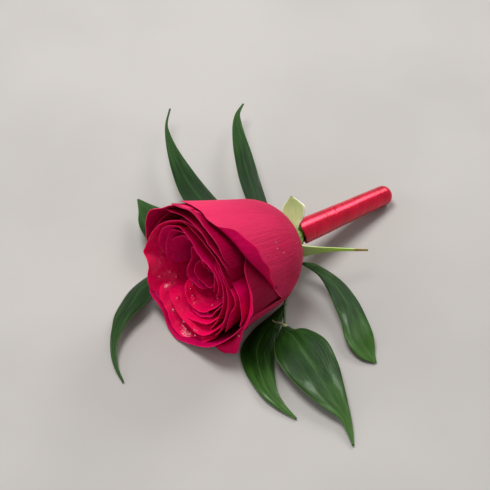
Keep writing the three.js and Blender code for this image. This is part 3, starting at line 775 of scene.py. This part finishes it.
# radius and height along the rose
HIP = [(0.2, -4.5), (1.7, -4.3), (2.4, -3.6), (3.1, -2.7), (3.9, -1.5), (4.25, -0.3), (4.3, 0.9),
       (4.0, 1.8), (3.2, 2.3), (0.2, 2.4)]
HIP_SIDES = 40
HIP_SWELL = 0.03  # share by which it swells under each sepal
ROSE_STEM_UNEVEN = 0.08
ROSE_STEM_RINGS = 60
ROSE_STEM_SIDES = 20


def sepal_surface(sepal, columns=15, rows=37):
    side = np.linspace(-1, 1, columns)[:, None]
    along = np.linspace(0, 1, rows)
    radius, height, width = route_through(sepal["points"], rows).T
    angle = math.radians(sepal["psi"])
    middle = rose_point(radius, np.full(rows, angle), height)[None]
    sideways = rose_point(1.0, angle + math.pi / 2, 0.0) - ROSE_BASE
    turn = math.radians(sepal["turn"]) * ease(along * 3)
    reach = 0.5 * side * width
    forward = reach * np.sin(turn) - SEPAL_CUP * width * side**2
    round_hip = reach * np.cos(turn)
    return middle + round_hip[..., None] * sideways + forward[..., None] * ROSE_AXIS


def build_stem_piece(name, rings, finish, node):
    corners, faces = closed_rings(rings)
    count, sides, _ = rings.shape
    marks = {
        "along": np.append(np.repeat(np.linspace(0, 1, count), sides), [0.0, 1.0]),
        "across": np.append(np.tile(np.linspace(-1, 1, sides), count), [0.0, 0.0]),
    }
    piece = mesh_from(name, corners, faces, finish, marks)
    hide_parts(node)


def build_rose_stem(finishes):
    turn = full_turn(HIP_SIDES)
    swell = 1 + HIP_SWELL * np.cos(len(SEPALS) * turn)
    hip = [rose_point(radius * swell, turn, np.full(HIP_SIDES, height)) for radius, height in HIP]
    route = route_through([
        rose_point(0.0, 0.0, ROSE_STEM_TOP),
        handle_point(0.0, 0.0, ROSE_STEM_OVER),
        handle_point(SPRIG_STEM_DEPTH, 0.0, ROSE_STEM_OVER),
        handle_point(HANDLE_LENGTH - ROSE_STEM_SHORT, 0.0, 0.0),
    ], ROSE_STEM_RINGS)
    uneven = ROSE_STEM_UNEVEN * np.sin(np.linspace(0, 19, ROSE_STEM_RINGS))
    wood = tube_grid(route, ROSE_STEM_RADIUS + uneven, ROSE_STEM_SIDES)
    for name, rings in (("rose_hip", np.array(hip)), ("rose_stem_wood", wood)):
        build_stem_piece(name, rings, finishes["hip"], "rose_stem")
    for name, sepal in SEPALS.items():
        middle = sepal_surface(sepal)
        finish = finishes[sepal["finish"]]
        piece = build_blade(f"sepal_{name}", middle, SEPAL_THICKNESS, finish)
        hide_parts("rose_stem")


# ---- ruscus sprigs ----
# a leaf is its roll about its length, in degrees, and its points (x, y, z, width there)
SPRIGS = {
    "far": dict(
        side=-1, finish="leaf_far",
        stem=[(-5.4, 2.6, 6.8), (-11.5, -2, 5.8), (-18, -13, 4.4), (-22, -26, 3)],
        leaves=[
            (0, [(-8, 0.8, 6.6, 0.8), (-21, 5.2, 7.8, 5.6), (-33, 10.5, 9.2, 7),
                 (-46.2, 17.9, 9.9, 6.3), (-55, 23.3, 9.4, 4.7), (-61.8, 28.1, 8.6, 3.2),
                 (-66.6, 32.4, 7.8, 1.6), (-70.3, 38.2, 7, 0.6)]),
            (0, [(-13, -4.5, 5.5, 0.8), (-21, -7.6, 7.4, 7.4), (-30.4, -9.1, 9, 10.6),
                 (-40, -8.1, 10, 10), (-53.8, -4, 10, 6.9), (-62.5, -0.5, 9.6, 4.5),
                 (-72.6, 4.7, 8.6, 2.1), (-77.8, 8, 8, 1), (-85.5, 15.7, 7, 0.6)]),
            (0, [(-20, -19, 4.2, 0.8), (-24.5, -25.2, 5.2, 7.5), (-33.3, -27.1, 6.6, 12),
                 (-39.1, -26.1, 7, 11.8), (-44.9, -24.1, 6.6, 10.2), (-50.4, -22.9, 6, 5.1),
                 (-56.3, -21.6, 5, 0.6)]),
            (-24, [(-22, -25, 2.6, 0.8), (-24.2, -36, 2.6, 6.6), (-21.8, -46.8, 2.9, 10.4),
                 (-19, -52.3, 3.1, 10), (-16.7, -57.3, 3.4, 7.8), (-13.6, -62.1, 3.4, 5),
                 (-10.3, -66.2, 3.2, 3.2), (-6.2, -69.8, 2.4, 2), (-1.3, -72.3, 1.5, 1.2),
                 (4, -73.8, 0.6, 0.6)]),
        ],
    ),
    "near": dict(
        side=1, finish="leaf_near",
        stem=[(2.6, 2.8, 8), (6, -1, 6), (12, -12.6, 3.2), (20.4, -20.2, 2.6)],
        leaves=[
            (0, [(5, 0.4, 6.6, 0.8), (8.6, 1.9, 7, 3), (13.2, 2.6, 7, 4), (19.3, 2.5, 6.2, 6.2),
                 (26.4, 0.8, 5, 7.9), (33.6, -1.9, 3.8, 8.6), (39.9, -5, 2.6, 9.4),
                 (44.6, -6.6, 1.4, 6.8), (49.6, -6.8, 0.6, 0.6)]),
            (-8, [(13, -13.4, 2.8, 0.8), (15.5, -20, 2, 5), (18, -27, 1.1, 9.3),
                 (21.9, -33.1, 0.8, 11.2), (26.3, -36.3, 0.8, 10.2), (32.5, -39.6, 1.2, 7.7),
                 (39, -41.9, 1.6, 4.8), (44.2, -42.2, 1.2, 2.8), (50.6, -41.6, 0.6, 0.6)]),
            (0, [(20, -20, 2.8, 1.2), (22.8, -21.4, 3.2, 5.4), (26.4, -22.2, 4, 12.7),
                 (32.2, -23.7, 4.4, 17.8), (41.1, -26.2, 4.3, 16.8), (49.6, -28.4, 4, 12.4),
                 (55.8, -29.6, 3.2, 8), (61.1, -30.7, 2.4, 3.8), (65.4, -32.7, 1.5, 2.1),
                 (69.8, -35.2, 0.6, 0.6)]),
        ],
    ),
}
LEAF_THICKNESS = 0.5
LEAF_THIN_EDGE = 0.6
LEAF_FLOOR = 0.3
LEAF_LEAST_HALF = 0.25
LEAF_ARCH = 0.12  # height of a leaf's arch and of its rib, as shares of its half width
LEAF_RIB = 0.03
LEAF_RIB_SHARE = 0.1
LEAF_RIPPLE = 0.25  # height of the ripple along its edges
LEAF_SEED = 19
TWIG_TIP = 0.7  # share of a sprig stem's radius that is left at its tip
TWIG_RINGS = 90
TWIG_SIDES = 12
# the near sprig's last joint and the dry bract that stands beside it: x, y, z and radius there
TRIM = {
    "joint": [(20.0, -19.6, 2.7, 0.45), (20.2, -20.0, 2.75, 0.95), (20.6, -20.4, 2.75, 1.0),
              (21.0, -20.8, 2.8, 0.5)],
    "bract": [(20.2, -20.2, 3.0, 0.3), (19.0, -21.2, 4.0, 0.34), (17.6, -22.0, 3.8, 0.26),
              (16.8, -22.6, 4.6, 0.12)],
}
TRIM_RINGS = 16


def leaf_surface(roll, points, draw, columns=21, rows=81):
    side = np.linspace(-1, 1, columns)[:, None]
    along = np.linspace(0, 1, rows)
    route = route_through(points, rows)
    centre, half = route[:, :3], np.maximum(0.5 * route[:, 3], LEAF_LEAST_HALF)
    ahead, level, over = route_frame(centre)
    roll = math.radians(roll)
    across = level * math.cos(roll) + over * math.sin(roll)
    face = np.cross(across, ahead)
    ripple = draw.uniform(0, 2 * math.pi, 2)
    rib = 1 - np.exp(-((side / LEAF_RIB_SHARE) ** 2))
    arch = LEAF_ARCH * half * (1 - side**2) + LEAF_RIB * half * rib
    waves = np.sin(9 * along + ripple[0] + ripple[1] * side)
    edge = LEAF_RIPPLE * side**2 * waves * ease(along * 4) * ease((1 - along) * 4)
    points = centre[None] + (side * half)[..., None] * across + (arch + edge)[..., None] * face
    points[..., 2] = np.maximum(points[..., 2], LEAF_FLOOR)
    return points


def build_sprigs(finishes):
    draw = np.random.default_rng(LEAF_SEED)
    mouth_along, mouth_side, mouth_over = SPRIG_MOUTH
    for place, sprig in SPRIGS.items():
        node = f"{place}_ruscus_sprig"
        sideways = SPRIG_STEM_SIDE * sprig["side"]
        route = route_through([
            handle_point(SPRIG_STEM_DEPTH, sideways, -SPRIG_STEM_UNDER),
            handle_point(SPRIG_TURN_OUT, sideways, -SPRIG_STEM_UNDER),
            handle_point(mouth_along, mouth_side * sprig["side"], mouth_over),
            *sprig["stem"],
        ], TWIG_RINGS)
        radii = SPRIG_STEM_RADIUS * mix(1.0, TWIG_TIP, np.linspace(0, 1, TWIG_RINGS))
        rings = tube_grid(route, radii, TWIG_SIDES)
        build_stem_piece(f"{place}_sprig_stem", rings, finishes["twig"], node)
        for i, leaf in enumerate(sprig["leaves"]):
            middle = leaf_surface(*leaf, draw)
            piece = build_blade(
                f"{place}_leaf_{i + 1}", middle, LEAF_THICKNESS, finishes[sprig["finish"]],
                thin_edge=LEAF_THIN_EDGE,
            )
            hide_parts(node)
    for name, points in TRIM.items():
        route = route_through(points, TRIM_RINGS)
        rings = tube_grid(route[:, :3], route[:, 3], TWIG_SIDES)
        build_stem_piece(
            f"near_sprig_{name}", rings, finishes[name], "near_ruscus_sprig"
        )


# ---- tape and ribbon ----
# pitch: how far a strip moves along the handle in one turn; inset: how far it lies inside the
# ribbon's outside; start, slant: mean place of its mouth, and how far this slants either way
# lift: how far a turn's leading edge lies over the turn before; thin_edge: share of the
# thickness that is left at its edges
RIBBON_WIDTH = 15.0
RIBBON = dict(
    width=RIBBON_WIDTH, pitch=8.0, inset=0.0, start=-0.6, slant=3.0, lift=0.03,
    thickness=0.16, thin_edge=0.2,
)
TAPE = dict(
    width=12.0, pitch=6.0, inset=0.9, start=1.2, slant=0.0, lift=0.2, thickness=0.3, thin_edge=0.8
)
MOUTH_FIRST = math.radians(50)  # side of the handle where the ribbon starts first
SLEEVE_START = -8.0  # along the handle: where the sleeve's outline starts, before its mouth
SLEEVE_ARC_STEPS = 12
WRAP_COLUMNS = 25
WRAP_ROWS = 60  # in one turn
WRAP_FLOOR = 0.2
WRAP_CLOSE = 0.2  # radius that a wrap leaves open at the handle's end
WRAP_SKEW = 0.3  # turn in radians between a strip's middle and its edge
WRAP_SLANTED = 2.2  # turns over which the slant of the mouth dies out
WRAP_LEVEL = 0.8  # turns before the strip moves on, and how its advance grows from there
WRAP_GROWTH = 1.15
WRAP_TUCK = 0.3  # how far a strip lies inside the sleeve's outside
WRAP_PUFF = 0.05
WRAP_END = 3.0  # length before the handle's end over which a strip comes to lie flat


def sleeve_profile(inset):
    """Run, place along the handle and radius of its outside, down to its round end's middle."""
    turn = np.linspace(0, math.pi / 2, SLEEVE_ARC_STEPS)
    reach = RIBBON_RADIUS_END - inset
    curve = RIBBON_END_ROUND - inset
    end = HANDLE_LENGTH - inset
    opening = mix(RIBBON_RADIUS_START, RIBBON_RADIUS_END, SLEEVE_START / HANDLE_LENGTH) - inset
    along = np.concatenate([[SLEEVE_START], end - curve * (1 - np.sin(turn)), [end]])
    radius = np.concatenate([[opening], reach - curve * (1 - np.cos(turn)), [WRAP_CLOSE]])
    steps = np.cumsum(np.hypot(np.diff(along), np.diff(radius)))
    return np.concatenate([[0.0], steps]) + SLEEVE_START, along, radius


def wrap_surface(width, pitch, inset, start, slant, lift):
    """A strip wound round the handle: each turn's leading edge lies over the turn before."""
    run, along, radius = sleeve_profile(inset)
    turns = 1.0 + (run[-1] - start - 0.35 * width) / pitch
    turn = np.linspace(0, turns, int(turns * WRAP_ROWS))[None, :]
    side = np.linspace(-1, 1, WRAP_COLUMNS)[:, None]
    angle = 2 * math.pi * turn + MOUTH_FIRST + math.pi - side * WRAP_SKEW
    lean = slant * np.cos(angle - MOUTH_FIRST) * (1 - ease(turn / WRAP_SLANTED))
    advance = pitch * np.maximum(turn - WRAP_LEVEL, 0) ** WRAP_GROWTH
    place = start - lean + advance + 0.45 * width * (side + 1)
    place = np.minimum(place, run[-1] - 0.15 * (1 - side))
    over = lift * (0.5 - 0.5 * side) + WRAP_PUFF * np.sin(1.7 * angle) * (1 - side**2)
    loose = ease((run[-1] - place) / WRAP_END)
    out = np.interp(place, run, radius) - WRAP_TUCK * loose + over * loose
    return handle_point(np.interp(place, run, along), out * np.cos(angle), out * np.sin(angle))


def build_wrap(name, finish, node, slot_name, thickness, thin_edge, **strip):
    """A wound strip, and its length along its middle."""
    middle = wrap_surface(**strip)
    middle[..., 2] = np.maximum(middle[..., 2], WRAP_FLOOR)
    rows = middle.shape[1]
    corners, faces = blade_solid(middle, thickness, thin_edge)
    steps = np.diff(middle[WRAP_COLUMNS // 2], axis=0)
    length = float(np.linalg.norm(steps, axis=1).sum())
    across = np.linspace(-0.5, 0.5, WRAP_COLUMNS) * strip["width"]
    marks = {
        "along_mm": np.tile(np.linspace(0, length, rows), 2 * WRAP_COLUMNS),
        "across_mm": np.tile(np.repeat(across, rows), 2),
    }
    piece = mesh_from(name, corners, faces, finish, marks)
    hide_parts(node)
    return piece, length


def build_handle(finishes):
    build_wrap("floral_tape_wrap", finishes["tape"], "floral_tape", "floral_tape", **TAPE)
    ribbon, length = build_wrap(
        "satin_ribbon_wrap", finishes["satin"], "ribbon_sleeve", "satin_ribbon", **RIBBON
    )
    length * MM


# ---- floor, light and camera ----
CAMERA_TURN = math.radians(50)
CAMERA_RISE = math.radians(45)
CAMERA_DISTANCE = 560.0
PIXELS_PER_MM = 3.0  # at the middle of the rose
IMAGE_SIDE = 490
ROSE_BASE_RIGHT = 46  # pixels from the middle of the view to the hip, rightwards and upwards
ROSE_BASE_UP = 5
SENSOR_WIDTH = 36.0
# in metres and watts: place, size and power of each light
LIGHTS = {
    "window": ((-0.3, -0.02, 0.95), 0.45, 8.5),
    "far_card": ((-0.2, 0.77, 0.59), 0.4, 4.5),
    "near_card": ((-0.5, -0.85, 0.4), 0.8, 2.5),
}
LIT_SPOT = Vector((0, 0, 0.02))
ROOM_LIGHT = 0.4
FLOOR_HALF = 3.0


def build_camera():
    back = np.array([
        math.sin(CAMERA_TURN) * math.cos(CAMERA_RISE),
        -math.cos(CAMERA_TURN) * math.cos(CAMERA_RISE),
        math.sin(CAMERA_RISE),
    ])
    right = np.array([math.cos(CAMERA_TURN), math.sin(CAMERA_TURN), 0.0])
    up = np.cross(back, right)
    target = ROSE_BASE - (right * ROSE_BASE_RIGHT + up * ROSE_BASE_UP) / PIXELS_PER_MM
    camera = bpy.data.cameras.new("camera")
    camera.sensor_width = SENSOR_WIDTH
    camera.lens = PIXELS_PER_MM * CAMERA_DISTANCE * SENSOR_WIDTH / IMAGE_SIDE
    camera.clip_start = 0.02
    stand = put("camera", camera)
    stand.location = (target + back * CAMERA_DISTANCE - PLAN_CENTRE) * MM
    stand.rotation_euler = Vector(-back).to_track_quat("-Z", "Y").to_euler()
    bpy.context.scene.camera = stand


def build_lights():
    for name, (place, size, power) in LIGHTS.items():
        light = bpy.data.lights.new(name, "AREA")
        light.size = size
        light.energy = power
        stand = put(name, light)
        stand.location = place
        stand.rotation_euler = (LIT_SPOT - Vector(place)).to_track_quat("-Z", "Y").to_euler()
    world = bpy.data.worlds.new("soft_room")
    world.use_nodes = True
    room = world.node_tree.nodes["Background"].inputs
    room["Color"].default_value = (1.0, 1.0, 1.0, 1.0)
    room["Strength"].default_value = ROOM_LIGHT
    bpy.context.scene.world = world
    bpy.context.scene.view_settings.view_transform = "Standard"


def build_floor():
    mesh = bpy.data.meshes.new("studio_floor")
    places = [(x * FLOOR_HALF, y * FLOOR_HALF, 0) for x, y in ((-1, -1), (1, -1), (1, 1), (-1, 1))]
    mesh.from_pydata(places, [], [(0, 1, 2, 3)])
    mesh.materials.append(floor_finish())
    floor = put("studio_floor", mesh)


# ---- the whole part ----
# outside at the foot and the rim, inside deep down and at the rim, the lip (the edge colour along
# the rim, a painted highlight where rims catch light), and how wet it is
PETAL_TONES = {
    "petal_blush": ("A81A40", "CC2454", "800034", "C0004E", "F0507E"),
    # painted shade: outer_right's outside darkened for the shadow under outer_top's fold
    "petal_shaded": ("8C0A2E", "9A0636", "5E0026", "E00058", "F0507E"),
    # painted shade: the fold petals darkened for the shade in the fold
    "petal_dark": ("80002C", "A2003A", "5E0026", "B80044", "F0507E"),
    "petal_side": ("A80042", "E80060", "7A0032", "E00050", "F04A84", 0.1),
    # painted light: brighter tones for the face petals, standing in for light shining through them
    "petal_bright": ("B00044", "D80054", "A80040", "F00052", "F04A7E", 0.35),
    "petal_heart": ("A00042", "C80052", "84003E", "D8005A", "F04A84", 0.15),
}
finishes = {
    **{name: petal_finish(name, *tones) for name, tones in PETAL_TONES.items()},
    "leaf_near": leaf_finish("ruscus_leaf", "0E2808", "285014", "2E5A20", "507E2A"),
    "leaf_far": leaf_finish("ruscus_leaf_dark", "10240C", "22421A", "2E5A20", "3C6628"),
    "sepal": sepal_finish("rose_sepal", "E2EAA8", "AEBE7C", "FFF4E0", "7A5A38", 0.96),
    "sepal_long": sepal_finish("rose_sepal_long", "93A466", "A9D23C", "C8D890", "A08A3C", 0.82),
    "hip": stem_finish("rose_green", "4E7A22", "8FA653"),
    "twig": stem_finish("ruscus_stem", "23401A", "4A6C30"),
    "joint": stem_finish("ruscus_joint", "9AA860", "D8DCA0"),
    "bract": stem_finish("ruscus_bract", "5A5038", "B8AC88"),
    "tape": tape_finish("floral_tape", "3E5A2C", "6E8A4C"),
    "satin": satin_finish("satin_ribbon", "B80026", "D80036"),
}
build_camera()
build_floor()
build_lights()
build_dew(build_petals(finishes), water_finish())
build_rose_stem(finishes)
build_sprigs(finishes)
build_handle(finishes)
